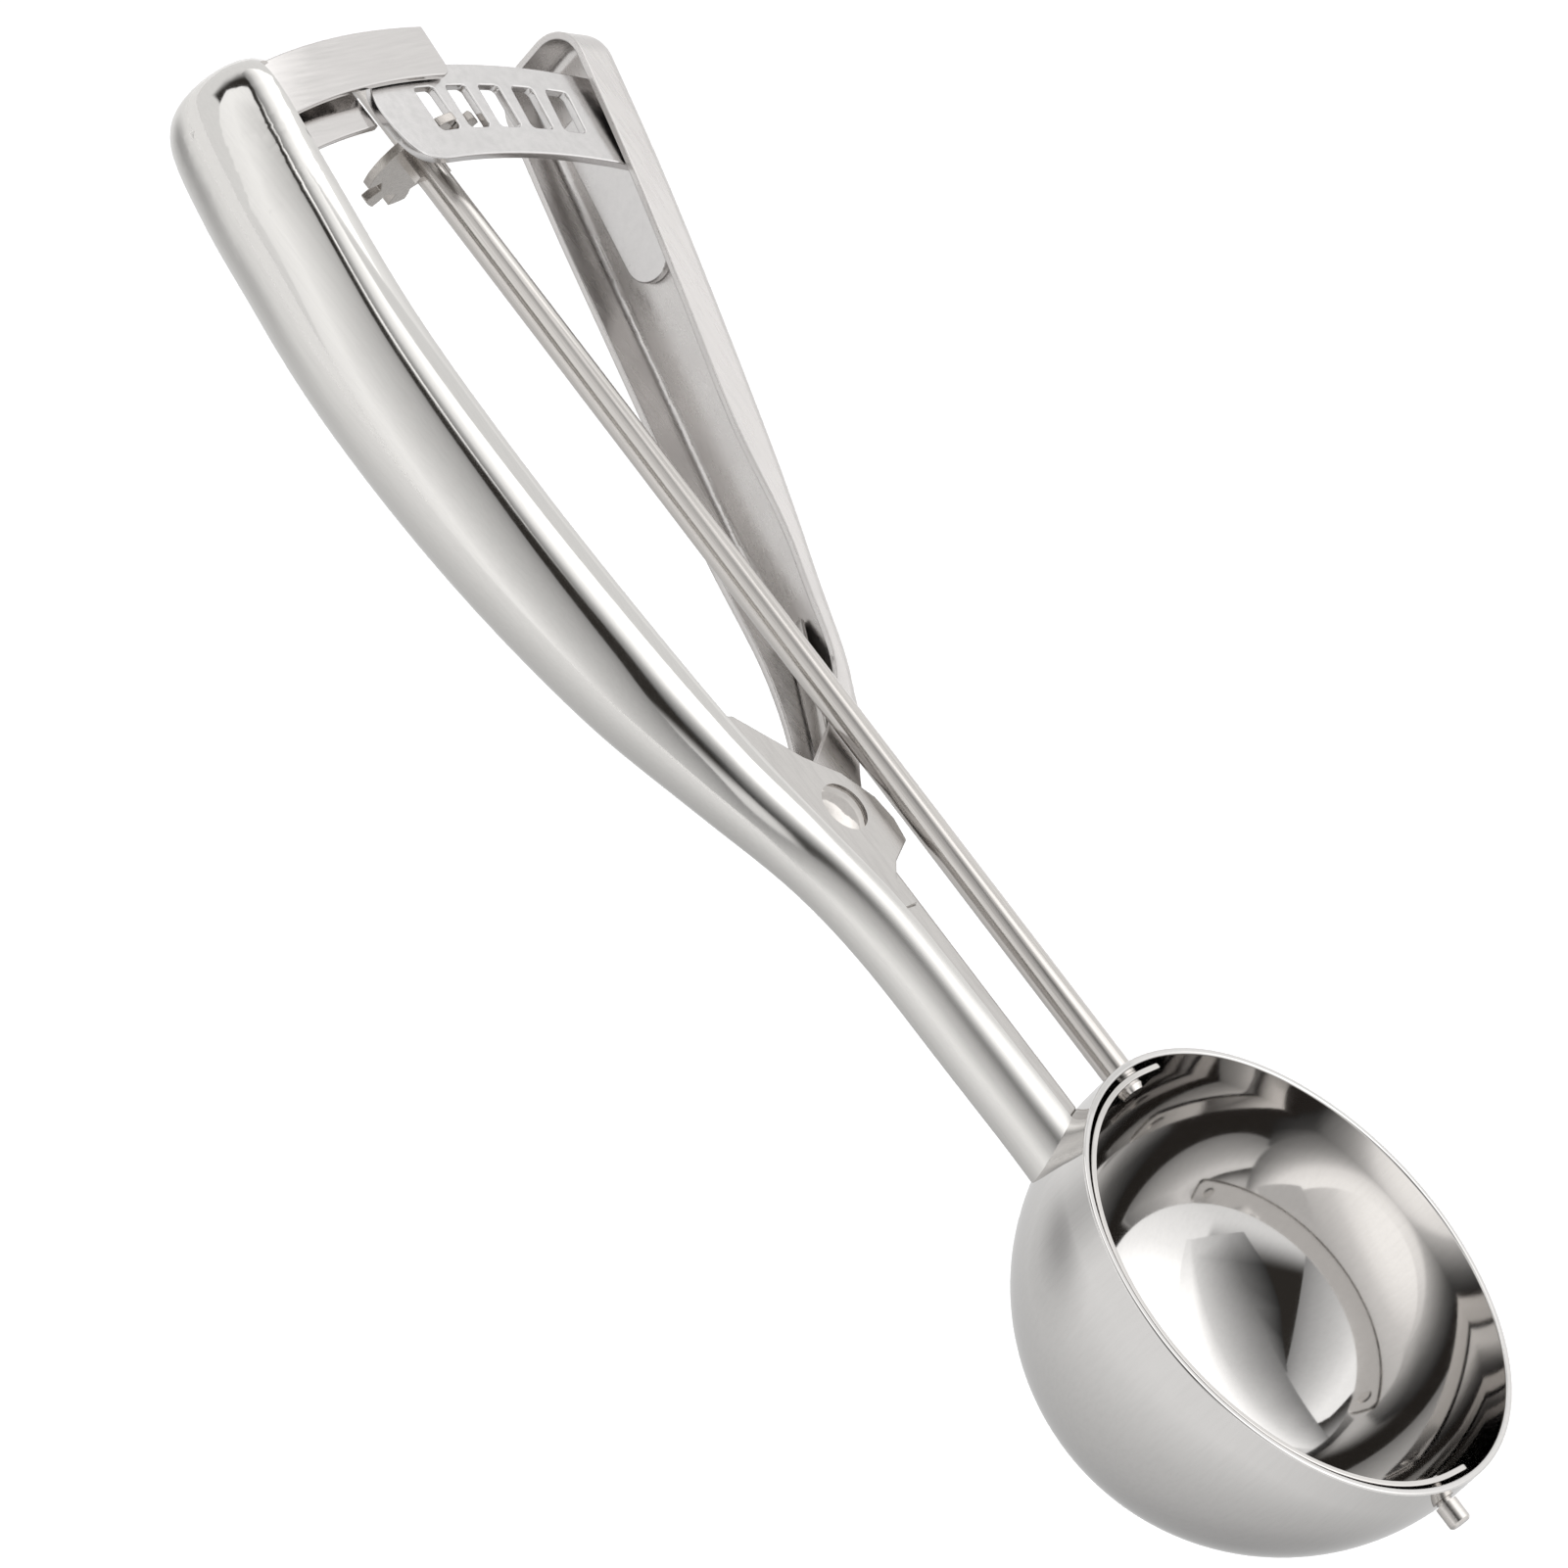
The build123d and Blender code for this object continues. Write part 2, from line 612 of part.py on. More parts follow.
# Lever: a tray pressed to its plan, cut to its side outline, with the rod's wall cut lower near the rod
plan_head = 2 * ear_radius
lever_length = bend_high + lever_end_margin
rack_wall_z = rack_high_z + seat_clearance + lever_wall
lever_end_z = rack_wall_z + lever_end_flare
lip_start = (lever_lip_start, -lever_lip_depth)
heel_start = (lever_heel_length, -lever_floor_depth)
with BuildPart() as lever_handle:
    with BuildSketch(lever_plane(-plan_head)) as plan:
        with BuildLine():
            Line((-plan_head, lever_low_z), (-plan_head, lever_top_z))
            Line((-plan_head, lever_top_z), (lever_joggle_start, lever_top_z))
            Spline(
                (lever_joggle_start, lever_top_z),
                *lever_rack_side,
                (bend_low, rack_wall_z),
                (lever_length, lever_end_z),
                tangents=((1, 0), (1, 0.06)),
            )
            Line((lever_length, lever_end_z), (lever_length, lever_end_low_z))
            Spline(
                (lever_length, lever_end_low_z),
                *lever_plain_side,
                (lever_ear_length, lever_low_z),
                tangents=((-1, -0.08), (-1, 0)),
            )
            Line((lever_ear_length, lever_low_z), (-plan_head, lever_low_z))
        make_face()
        fillet(plan.vertices().group_by(Axis.X)[-1], radius=lever_end_round)
    extrude(amount=lever_floor_depth + plan_head)
    floor_face = lever_handle.faces().filter_by(lever_plane(0)).sort_by(Axis.Y)[0]
    fillet(floor_face.edges(), radius=lever_corner)
    mouth = lever_handle.faces().filter_by(lever_plane(0)).sort_by(Axis.Y)[-1]
    offset(amount=-lever_wall, openings=mouth)
    with BuildSketch(lever_side_plane(-tall)):
        with BuildLine():
            ThreePointArc((0, -ear_radius), (-ear_radius, 0), (0, ear_radius))
            Spline(
                (0, ear_radius),
                lever_shoulder,
                *lever_plain_edge,
                lip_start,
                tangents=((1, 0), (1, 0)),
            )
            Line(lip_start, (lever_length, -lever_lip_depth))
            Line((lever_length, -lever_lip_depth), (lever_length, -lever_floor_depth))
            Line((lever_length, -lever_floor_depth), heel_start)
            Spline(heel_start, *lever_heel_edge, (0, -ear_radius), tangents=((-1, 0), (-1, 0.4)))
        make_face()
    extrude(amount=2 * tall, mode=Mode.INTERSECT)
    with BuildSketch(lever_side_plane(handle_mid_z)):
        with BuildLine():
            Spline(lever_shoulder, *lever_rod_edge, lip_start, tangents=((1, -1), (1, 0)))
            Polyline(lip_start, (lever_lip_start, 0), lever_shoulder)
        make_face()
    extrude(amount=tall, mode=Mode.SUBTRACT)
    with BuildSketch(pivot_plane(-tall)):
        Circle(pivot_diameter / 2 + running_clearance)
    extrude(amount=2 * tall, mode=Mode.SUBTRACT)
lever_handle.part.label = "lever_handle"
export_step(lever_handle.part, "parts/lever_handle.step")

# Lever spring: a leaf folded round the rivet, one arm on the lever's floor and one in the main handle
spring_turn = pivot_diameter / 2 + sliding_clearance + spring_thickness / 2
lever_rest = lever_floor_inside - sliding_clearance - spring_thickness / 2
lever_tip = lever_plane(lever_rest).from_local_coords((spring_lever_reach, 0, 0))
spring_low = handle_z(spring_handle_x) - (handle_mid_z - spring_width / 2)
hollow_depth = handle_value(spring_handle_x, 2) - handle_wall
hollow_width = handle_value(spring_handle_x, 3) - handle_wall
hollow_reach = hollow_depth * sqrt(1 - (spring_low / hollow_width) ** 2)
handle_rest = handle_value(spring_handle_x, 1) + hollow_reach - sliding_clearance - spring_thickness
handle_tip = (spring_handle_x, handle_rest)
tip_a = (lever_tip.X - pivot_x, lever_tip.Y - pivot_y)
tip_b = (handle_tip[0] - pivot_x, handle_tip[1] - pivot_y)
touch_a = degrees(atan2(tip_a[1], tip_a[0]) - acos(spring_turn / hypot(*tip_a)))
touch_b = degrees(atan2(tip_b[1], tip_b[0]) + acos(spring_turn / hypot(*tip_b)))
with BuildPart() as lever_spring:
    with BuildSketch(pivot_plane(handle_mid_z - spring_width / 2)):
        with BuildLine():
            Line(tip_b, polar(spring_turn, touch_b))
            CenterArc((0, 0), spring_turn, touch_b, 360 + touch_a - touch_b)
            Line(polar(spring_turn, touch_a), tip_a)
        trace(line_width=spring_thickness)
    extrude(amount=spring_width)
lever_spring.part.label = "lever_spring"
export_step(lever_spring.part, "parts/lever_spring.step")
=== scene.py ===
import math

import bmesh
import bpy
from mathutils import Matrix, Vector


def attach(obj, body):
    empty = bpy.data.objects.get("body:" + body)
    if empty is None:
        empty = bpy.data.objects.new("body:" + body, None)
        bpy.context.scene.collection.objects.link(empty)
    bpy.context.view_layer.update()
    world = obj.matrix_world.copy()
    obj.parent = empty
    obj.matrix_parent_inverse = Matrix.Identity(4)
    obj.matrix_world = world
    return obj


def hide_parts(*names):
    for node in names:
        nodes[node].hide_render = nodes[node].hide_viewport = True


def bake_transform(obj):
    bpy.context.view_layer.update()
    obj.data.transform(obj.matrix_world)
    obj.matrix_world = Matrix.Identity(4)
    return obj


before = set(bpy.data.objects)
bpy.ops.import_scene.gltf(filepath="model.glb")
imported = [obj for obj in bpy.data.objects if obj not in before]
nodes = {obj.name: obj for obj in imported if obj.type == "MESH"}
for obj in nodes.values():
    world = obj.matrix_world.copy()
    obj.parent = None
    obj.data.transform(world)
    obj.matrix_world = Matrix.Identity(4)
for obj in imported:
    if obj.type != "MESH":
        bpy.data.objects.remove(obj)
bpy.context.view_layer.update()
scene = bpy.context.scene
scene.view_settings.view_transform = "Standard"

# Camera: a long lens that looks down past the main handle into the bowl.
# The turn's columns are the camera's right, up and back directions in the part's frame.
image_width = 1601
focal_pixels = 8133
camera_turn = Matrix(
    ((-0.5891, 0.7761, -0.2249), (-0.5643, -0.196, 0.802), (0.5783, 0.5994, 0.5534))
)
camera_place = Vector((-0.1314, 0.7783, 0.5199))
camera_data = bpy.data.cameras.new("camera")
camera_data.sensor_width = 36.0
camera_data.lens = camera_data.sensor_width * focal_pixels / image_width
camera_data.clip_start = 0.01
camera = bpy.data.objects.new("camera", camera_data)
camera.matrix_world = Matrix.Translation(camera_place) @ camera_turn.to_4x4()
scene.collection.objects.link(camera)
scene.camera = camera


# Light tent: white cloth all round, a round lamp behind the cloth overhead, and a slit on a dark room.
# Polished steel is only what it mirrors, so these give the white strip and the dark line on the grip.
# The slit is told by the angle over its great circle and by the turn along that circle, in degrees.
def linear(code):
    """An sRGB hex colour as a linear colour."""
    channels = [int(code[i : i + 2], 16) / 255 for i in (1, 3, 5)]
    lit = [c / 12.92 if c <= 0.04045 else ((c + 0.055) / 1.055) ** 2.4 for c in channels]
    return (*lit, 1.0)


def add_node(tree, kind, settings=None, links=None):
    """A node of this kind, with its settings or socket values, and with links into its sockets."""
    made = tree.nodes.new(kind)
    for name, value in (settings or {}).items():
        if isinstance(name, str) and hasattr(made, name):
            setattr(made, name, value)
        else:
            made.inputs[name].default_value = value
    for name, socket in (links or {}).items():
        tree.links.new(socket, made.inputs[name])
    return made


slit_over = Vector((-0.52, -0.844, 0.132)).normalized()
slit_along = Vector((0.851, -0.525, 0.0)).normalized()
slit_up = slit_over.cross(slit_along)
slit_angles = ((-50.0, 2.0), (3.0, 1.5))
slit_turns = ((-58.0, 9.0), (50.0, 10.0))
lamp_way = Vector((-0.25, -0.16, 0.955)).normalized()
cloth_level = 0.97
dark_room = "#35322F"
lamp_steps = ((0, 2.05), (18, 2.0), (30, 1.75), (40, 1.35), (50, 1.16), (62, cloth_level))
tent = bpy.data.worlds.new("light_tent")
tent.use_nodes = True
scene.world = tent
tent_tree = tent.node_tree
tent_tree.nodes.clear()
tent_way = add_node(tent_tree, "ShaderNodeTexCoord").outputs["Generated"]


def share_of(axis):
    """How far each direction of the tent points along this axis."""
    return add_node(
        tent_tree, "ShaderNodeVectorMath", {"operation": "DOT_PRODUCT", 1: axis}, {0: tent_way}
    ).outputs["Value"]


over_slit = add_node(tent_tree, "ShaderNodeMath", {"operation": "ARCSINE"}, {0: share_of(slit_over)})
along_slit = add_node(
    tent_tree, "ShaderNodeMath", {"operation": "ARCTAN2"}, {0: share_of(slit_along), 1: share_of(slit_up)}
)
slit = None
for turned, ((low, low_soft), (high, high_soft)) in ((over_slit, slit_angles), (along_slit, slit_turns)):
    for first, last in ((low - low_soft, low + low_soft), (high + high_soft, high - high_soft)):
        edge = add_node(
            tent_tree,
            "ShaderNodeMapRange",
            {
                "interpolation_type": "SMOOTHSTEP",
                "From Min": math.radians(first),
                "From Max": math.radians(last),
            },
            {"Value": turned.outputs[0]},
        )
        slit = edge if slit is None else add_node(
            tent_tree, "ShaderNodeMath", {"operation": "MULTIPLY"}, {0: slit.outputs[0], 1: edge.outputs[0]}
        )
lamp_off = add_node(tent_tree, "ShaderNodeMath", {"operation": "ARCCOSINE"}, {0: share_of(lamp_way)})
lamp_share = add_node(
    tent_tree, "ShaderNodeMath", {"operation": "DIVIDE", 1: math.pi}, {0: lamp_off.outputs[0]}
)
lamp = add_node(tent_tree, "ShaderNodeValToRGB", {}, {"Fac": lamp_share.outputs[0]})
lamp_stops = lamp.color_ramp.elements
for spare in range(len(lamp_steps) - len(lamp_stops)):
    lamp_stops.new(0.5)
for stop, (angle, level) in zip(lamp_stops, lamp_steps):
    stop.position = angle / 180
    stop.color = (level, level, level, 1.0)
lit = add_node(
    tent_tree,
    "ShaderNodeMix",
    {"data_type": "RGBA", 7: linear(dark_room)},
    {0: slit.outputs[0], 6: lamp.outputs[0]},
)
inside = add_node(tent_tree, "ShaderNodeBackground", {"Strength": 1.0}, {"Color": lit.outputs[2]})
backdrop = add_node(tent_tree, "ShaderNodeBackground", {"Color": linear("#FFFFFF"), "Strength": 1.0})
seen = add_node(tent_tree, "ShaderNodeLightPath")
shown = add_node(
    tent_tree,
    "ShaderNodeMixShader",
    {},
    {0: seen.outputs["Is Camera Ray"], 1: inside.outputs[0], 2: backdrop.outputs[0]},
)
add_node(tent_tree, "ShaderNodeOutputWorld", {}, {"Surface": shown.outputs[0]})

# Cards: the cloth on either side of the slit hangs close to the scoop, and two dim cards on the floor below
# it are painted floor shade that only mirrors see, a broad one behind the scoop and a smaller one to its
# side.
# The upper cloth dims towards its hem, and the front cloth grows brighter away from its hem.
# Reaches are metres along a hem or a fold from its place, and levels are brightness, where 1 is white.
cloth_glow = bpy.data.materials.new("lit_cloth")
cloth_glow.use_nodes = True
cloth_tree = cloth_glow.node_tree
cloth_tree.nodes.clear()
cloth_shine = add_node(cloth_tree, "ShaderNodeAttribute", {"attribute_name": "glow"})
cloth_light = add_node(
    cloth_tree, "ShaderNodeEmission", {"Color": linear("#FFFFFF")}, {"Strength": cloth_shine.outputs["Fac"]}
)
add_node(cloth_tree, "ShaderNodeOutputMaterial", {}, {"Surface": cloth_light.outputs[0]})


def lit_sheet(name, rows):
    """A card that only mirrors see, from equal rows of points that each have a brightness."""
    width = len(rows[0])
    spots = [spot for row in rows for spot in row]
    faces = []
    for first in range(0, len(spots) - width, width):
        for corner in range(first, first + width - 1):
            faces.append((corner, corner + 1, corner + width + 1, corner + width))
    mesh = bpy.data.meshes.new(name)
    mesh.from_pydata([tuple(point) for point, _ in spots], [], faces)
    glow = mesh.attributes.new("glow", "FLOAT", "POINT")
    glow.data.foreach_set("value", [level for _, level in spots])
    mesh.materials.append(cloth_glow)
    card = bpy.data.objects.new(name, mesh)
    scene.collection.objects.link(card)
    card.visible_camera = False
    card.visible_diffuse = False
    card.visible_shadow = False


hem_place = Vector((0.0253, 0.0781, 0.1067))
hem_along = Vector((0.9551, -0.296, -0.0094))
hem_levels = (0.6, 0.22, 0.22, 0.26, 0.28, 0.28, 0.28, 0.28, 0.28, 0.28, 0.28)
fringe_shares = ((0.3, 0.4), (0.4, 0.04), (0.4, 0.04), (0.35, 0.04), (0.2, 0.04), (0.03, 0.15))
fold_place = Vector((0.1182, 0.0287, 0.1868))
fold_along = Vector((0.8273, -0.2944, -0.4784))
fold_out = Vector((-0.45, -0.88, 0.1))
fold_steps = ((0.0, 0.97), (0.03, 1.6), (0.06, 1.85), (0.09, 1.95))
hem_reaches = (-0.2, -0.123, -0.083, -0.048, -0.006, 0.042, 0.092, 0.14, 0.187, 0.226, 0.3)
fold_reaches = (-2.0, -0.9, -0.52, -0.34, -0.19, -0.108, 0.0, 0.063, 0.11, 0.147, 0.22)
fold_nearness = (0.155, 0.29, 0.4, 0.51, 0.66, 0.9, 1.0, 1.0, 1.0, 1.0, 1.0)
fold_limits = (1.1, 1.2, 1.4, 1.65, 1.85, 1.95, 1.95, 1.95, 1.95, 1.95, 1.95)
upper_rows = [[]]
for reach, level in zip(hem_reaches, hem_levels):
    upper_rows[0].append((hem_place + hem_along * reach, level))
for out, level in fold_steps:
    row = []
    for reach, nearness, limit in zip(fold_reaches, fold_nearness, fold_limits):
        point = fold_place + fold_along * reach + fold_out * out
        row.append((point * nearness, min(level, limit)))
    upper_rows.append(row)
lit_sheet("upper_cloth", upper_rows)
fringe_row = []
for (hem_point, _), (fold_point, _), (share, level) in zip(upper_rows[0], upper_rows[1], fringe_shares):
    fringe_row.append((hem_point + (hem_point - fold_point) * share, level))
lit_sheet("hem_fringe", [upper_rows[0][: len(fringe_row)], fringe_row])
front_place = Vector((-0.012, 0.1399, 0.0543))
front_along = Vector((0.6768, -0.2152, 0.704))
front_down = Vector((0.449, 0.799, -0.399))
front_steps = (
    (0.0, 0.34),
    (0.025, 0.52),
    (0.05, 0.64),
    (0.1, 0.82),
    (0.16, 1.02),
    (0.25, 1.25),
    (0.5, 1.12),
)
front_reaches = (
    (-0.15, 0.0),
    (0.0, 0.0),
    (0.15, 0.0),
    (0.3, 0.15),
    (0.42, 0.3),
    (0.6, 0.8),
    (1.0, 0.9),
)
front_bright = 1.3
front_rows = []
for drop, level in front_steps:
    row = []
    for reach, share in front_reaches:
        point = front_place + front_along * reach + front_down * drop
        row.append((point, level + (front_bright - level) * share))
    front_rows.append(row)
lit_sheet("front_cloth", front_rows)
card_turns = 48
# The rear and side cards are painted floor shade: their levels darken towards their middles, so mirrors see
# a shaded floor there.
rear_middle = Vector((-0.15, -0.28, -0.48))
rear_steps = (
    (0.0, 0.42),
    (0.15, 0.48),
    (0.3, 0.6),
    (0.44, 0.69),
    (0.63, 0.82),
    (0.85, 0.95),
    (1.4, 1.08),
)
side_middle = Vector((0.57, 0.12, -0.47))
side_steps = ((0.0, 0.5), (0.08, 0.56), (0.16, 0.72), (0.24, 0.89), (0.34, 1.0))


def rear_shade_level(point):
    """The rear card's brightness under this point."""
    gap = Vector((point.x - rear_middle.x, point.y - rear_middle.y)).length
    for (inner, low), (outer, high) in zip(rear_steps, rear_steps[1:]):
        if gap <= outer:
            return low + (high - low) * (gap - inner) / (outer - inner)
    return rear_steps[-1][1]


floor_shade_cards = (("rear_floor_shade", rear_middle, rear_steps), ("side_floor_shade", side_middle, side_steps))
for card_name, middle, card_steps in floor_shade_cards:
    card_rows = []
    for radius, share in card_steps:
        row = []
        for i in range(card_turns + 1):
            turn = 2 * math.pi * i / card_turns
            point = middle + radius * Vector((math.cos(turn), math.sin(turn), 0))
            level = rear_shade_level(point) * share if card_name == "side_floor_shade" else share
            row.append((point, level))
        card_rows.append(row)
    lit_sheet(card_name, card_rows)
# The lip card hangs beside the grip and keeps its inner lip pale.
grip_run = (Vector((0.075, 0.02, -0.005)), Vector((0.2, 0.036, 0.009)))
lip_ways = (Vector((-0.022, -0.458, 0.889)), Vector((-0.391, -0.802, 0.451)))
lip_reach = 0.1
lip_level = 0.93
lit_sheet("lip_card", [[(end + way * lip_reach, lip_level) for end in grip_run] for way in lip_ways])

# Floor: white paper well below the scoop, which is held up by its grip.
# A little glow for the camera and for mirrors keeps it white, and its matte part takes the shadow.
floor_half = 3.0
floor_z = -0.5
floor_glow = 0.25
floor_mesh = bpy.data.meshes.new("floor")
floor_mesh.from_pydata(
    [
        (-floor_half, -floor_half, floor_z),
        (floor_half, -floor_half, floor_z),
        (floor_half, floor_half, floor_z),
        (-floor_half, floor_half, floor_z),
    ],
    [],
    [(0, 1, 2, 3)],
)
floor = bpy.data.objects.new("floor", floor_mesh)
scene.collection.objects.link(floor)
paper = bpy.data.materials.new("white_paper")
paper.use_nodes = True
paper_tree = paper.node_tree
paper_tree.nodes.clear()
paper_look = add_node(paper_tree, "ShaderNodeLightPath")
direct = add_node(
    paper_tree,
    "ShaderNodeMath",
    {"operation": "MAXIMUM"},
    {0: paper_look.outputs["Is Camera Ray"], 1: paper_look.outputs["Is Glossy Ray"]},
)
through = add_node(
    paper_tree,
    "ShaderNodeMath",
    {"operation": "MAXIMUM"},
    {0: direct.outputs[0], 1: paper_look.outputs["Is Transmission Ray"]},
)
glow_level = add_node(
    paper_tree, "ShaderNodeMath", {"operation": "MULTIPLY", 1: floor_glow}, {0: through.outputs[0]}
)
glow = add_node(
    paper_tree, "ShaderNodeEmission", {"Color": linear("#FFFFFF")}, {"Strength": glow_level.outputs[0]}
)
matte = add_node(paper_tree, "ShaderNodeBsdfDiffuse", {"Color": linear("#F4F4F4")})
paper_sum = add_node(paper_tree, "ShaderNodeAddShader", {}, {0: matte.outputs[0], 1: glow.outputs[0]})
add_node(paper_tree, "ShaderNodeOutputMaterial", {}, {"Surface": paper_sum.outputs[0]})
floor_mesh.materials.append(paper)

# Bowl: a half ball pressed from 0.9 mm stainless sheet, with a short straight rim and a rounded lip.
# It is mirror polished inside and out, with one hole for the drive rod and one for the scraper's pin.
bowl_radius = 0.032
bowl_inside = 0.0311
bowl_middle = (bowl_radius + bowl_inside) / 2
rim_height = 0.004
lip_round = 0.0003
rod_hole = 0.0021
pin_hole = 0.0011
bowl_arc_steps = 48
bowl_turn_steps = 480
lip_steps = 6
hole_steps = 48
hole_lean = 0.3
bowl_merge = 1e-7


def mesh_piece(name, mesh):
    """An object at the origin that shows this mesh."""
    piece = bpy.data.objects.new(name, mesh)
    scene.collection.objects.link(piece)
    return piece


def settled(piece):
    """Turns a piece's modifiers into plain mesh."""
    bpy.context.view_layer.update()
    finished = bpy.data.meshes.new_from_object(
        piece.evaluated_get(bpy.context.evaluated_depsgraph_get())
    )
    rough_mesh = piece.data
    piece.modifiers.clear()
    piece.data = finished
    bpy.data.meshes.remove(rough_mesh)
    finished.name = piece.name


def arc_points(centre, radius, first, last, steps):
    """Points of an arc in a profile, with angles in degrees."""
    for i in range(steps + 1):
        angle = math.radians(first + (last - first) * i / steps)
        yield centre[0] + radius * math.cos(angle), centre[1] + radius * math.sin(angle)


bowl_profile = [
    *arc_points((0, -rim_height), bowl_radius, -90, 0, bowl_arc_steps),
    *arc_points((bowl_radius - lip_round, -lip_round), lip_round, 0, 90, lip_steps),
    *arc_points((bowl_inside + lip_round, -lip_round), lip_round, 90, 180, lip_steps),
    *arc_points((0, -rim_height), bowl_inside, 0, -90, bowl_arc_steps),
]
bowl_work = bmesh.new()
bowl_rings = []
for radius, height in bowl_profile:
    ring = []
    for i in range(bowl_turn_steps):
        angle = 2 * math.pi * i / bowl_turn_steps
        ring.append(bowl_work.verts.new((radius * math.cos(angle), radius * math.sin(angle), height)))
    bowl_rings.append(ring)
for ring, following in zip(bowl_rings, bowl_rings[1:]):
    for i in range(bowl_turn_steps):
        j = (i + 1) % bowl_turn_steps
        bowl_work.faces.new((ring[i], ring[j], following[j], following[i]))
bmesh.ops.remove_doubles(bowl_work, verts=bowl_work.verts, dist=bowl_merge)
bmesh.ops.dissolve_degenerate(bowl_work, edges=bowl_work.edges, dist=bowl_merge)
bmesh.ops.recalc_face_normals(bowl_work, faces=bowl_work.faces)
bowl_mesh = bpy.data.meshes.new("pressed_bowl")
bowl_work.to_mesh(bowl_mesh)
bowl_work.free()
bowl = mesh_piece("pressed_bowl", bowl_mesh)
for side, hole_radius in ((1, rod_hole), (-1, pin_hole)):
    drill_work = bmesh.new()
    bmesh.ops.create_cone(
        drill_work,
        cap_ends=True,
        segments=hole_steps,
        radius1=hole_radius,
        radius2=hole_radius,
        depth=rim_height,
        matrix=Matrix.Translation((side * bowl_middle, 0, -rim_height))
        @ Matrix.Rotation(math.pi / 2, 4, "Y"),
    )
    drill_mesh = bpy.data.meshes.new("drill")
    drill_work.to_mesh(drill_mesh)
    drill_work.free()
    drill = mesh_piece("drill", drill_mesh)
    hole = bowl.modifiers.new("hole", "BOOLEAN")
    hole.operation = "DIFFERENCE"
    hole.solver = "EXACT"
    hole.object = drill
    settled(bowl)
    bpy.data.objects.remove(drill)
    bpy.data.meshes.remove(drill_mesh)


def bowl_normal(place):
    """The true direction of the bowl's surface, so that its mirror has no facets."""
    height = place.z + rim_height
    if height <= 0:
        radial = Vector((place.x, place.y, height))
        return radial.normalized() if radial.length > bowl_middle else -radial.normalized()
    outward = Vector((place.x, place.y, 0))
    radius = outward.length
    outward.normalize()
    over_lip = max(0.0, place.z + lip_round)
    if radius > bowl_radius - lip_round:
        return (outward * (radius - bowl_radius + lip_round) + Vector((0, 0, over_lip))).normalized()
    if radius < bowl_inside + lip_round:
        return (outward * (radius - bowl_inside - lip_round) + Vector((0, 0, over_lip))).normalized()
    return Vector((0, 0, 1))


bowl.data.polygons.foreach_set("use_smooth", [True] * len(bowl.data.polygons))
bowl_normals = [None] * len(bowl.data.loops)
for face in bowl.data.polygons:
    from_axis = math.hypot(face.center.y, face.center.z + rim_height)
    in_hole = abs(face.normal.x) < hole_lean and from_axis < rod_hole
    for corner in face.loop_indices:
        place = bowl.data.vertices[bowl.data.loops[corner].vertex_index].co
        bowl_normals[corner] = face.normal.copy() if in_hole else bowl_normal(place)
bowl.data.normals_split_custom_set(bowl_normals)


haze_size = 7.0
worn_range = (0.7, 1.3)
mark_range = (0.3, 0.6)
rough_swing = 0.25


def steel(name, colour, rough, grain, depth, contrast):
    """Stainless steel with a worked surface: grain is the marks' size along each axis and depth is
    their height, both in millimetres, and contrast is how much darker the marks are.
    Returns the material and the nodes that a piece may build on."""
    made = bpy.data.materials.new(name)
    made.use_nodes = True
    tree = made.node_tree
    tree.nodes.clear()
    where = add_node(tree, "ShaderNodeTexCoord").outputs["Object"]
    laid = add_node(
        tree, "ShaderNodeMapping", {"Scale": tuple(1000 / size for size in grain)}, {"Vector": where}
    )
    marks = add_node(
        tree,
        "ShaderNodeTexNoise",
        {"Scale": 1.0, "Detail": 3.0, "Roughness": 0.6},
        {"Vector": laid.outputs[0]},
    )
    haze = add_node(
        tree, "ShaderNodeTexNoise", {"Scale": 1000 / haze_size, "Detail": 2.0}, {"Vector": where}
    )
    worn = add_node(tree, "ShaderNodeMath", {"operation": "ADD"}, {0: marks.outputs[0], 1: haze.outputs[0]})
    level = add_node(
        tree,
        "ShaderNodeMapRange",
        {
            "From Min": worn_range[0],
            "From Max": worn_range[1],
            "To Min": rough * (1 - rough_swing),
            "To Max": rough * (1 + rough_swing),
        },
        {"Value": worn.outputs[0]},
    )
    tint = add_node(
        tree,
        "ShaderNodeMapRange",
        {"From Min": mark_range[0], "From Max": mark_range[1], "To Min": 1 - contrast, "To Max": 1.0},
        {"Value": marks.outputs[0]},
    )
    tone = add_node(
        tree,
        "ShaderNodeMix",
        {"data_type": "RGBA", "blend_type": "MULTIPLY", 0: 1.0, 6: linear(colour)},
        {7: tint.outputs[0]},
    )
    relief = add_node(
        tree, "ShaderNodeBump", {"Strength": 1.0, "Distance": depth / 1000}, {"Height": marks.outputs[0]}
    )
    body = add_node(
        tree,
        "ShaderNodeBsdfPrincipled",
        {"Metallic": 1.0},
        {"Base Color": tone.outputs[2], "Roughness": level.outputs[0], "Normal": relief.outputs[0]},
    )
    add_node(tree, "ShaderNodeOutputMaterial", {}, {"Surface": body.outputs[0]})
    return made, {"where": where, "level": level, "body": body}


# Mirror polish: buffed on a soft wheel, so the room is seen sharply, with only faint wheel marks.
bowl_steel, _ = steel("mirror_polished_stainless", "#D4D2D0", 0.05, (0.6, 0.6, 6.0), 0.0004, 0.03)
bowl.data.materials.clear()
bowl.data.materials.append(bowl_steel)
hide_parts("bowl")
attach(bowl, "handle")


# Scraper: a half-round band of thin spring strip that lies against the bowl's inside.
# It is sheared, so its edges are rolled over a little and catch the light as white lines.
merge_gap = 2e-6
flat_angle = math.radians(0.5)
sharp_angle = math.radians(38)
round_steps = 3
face_weight = 80


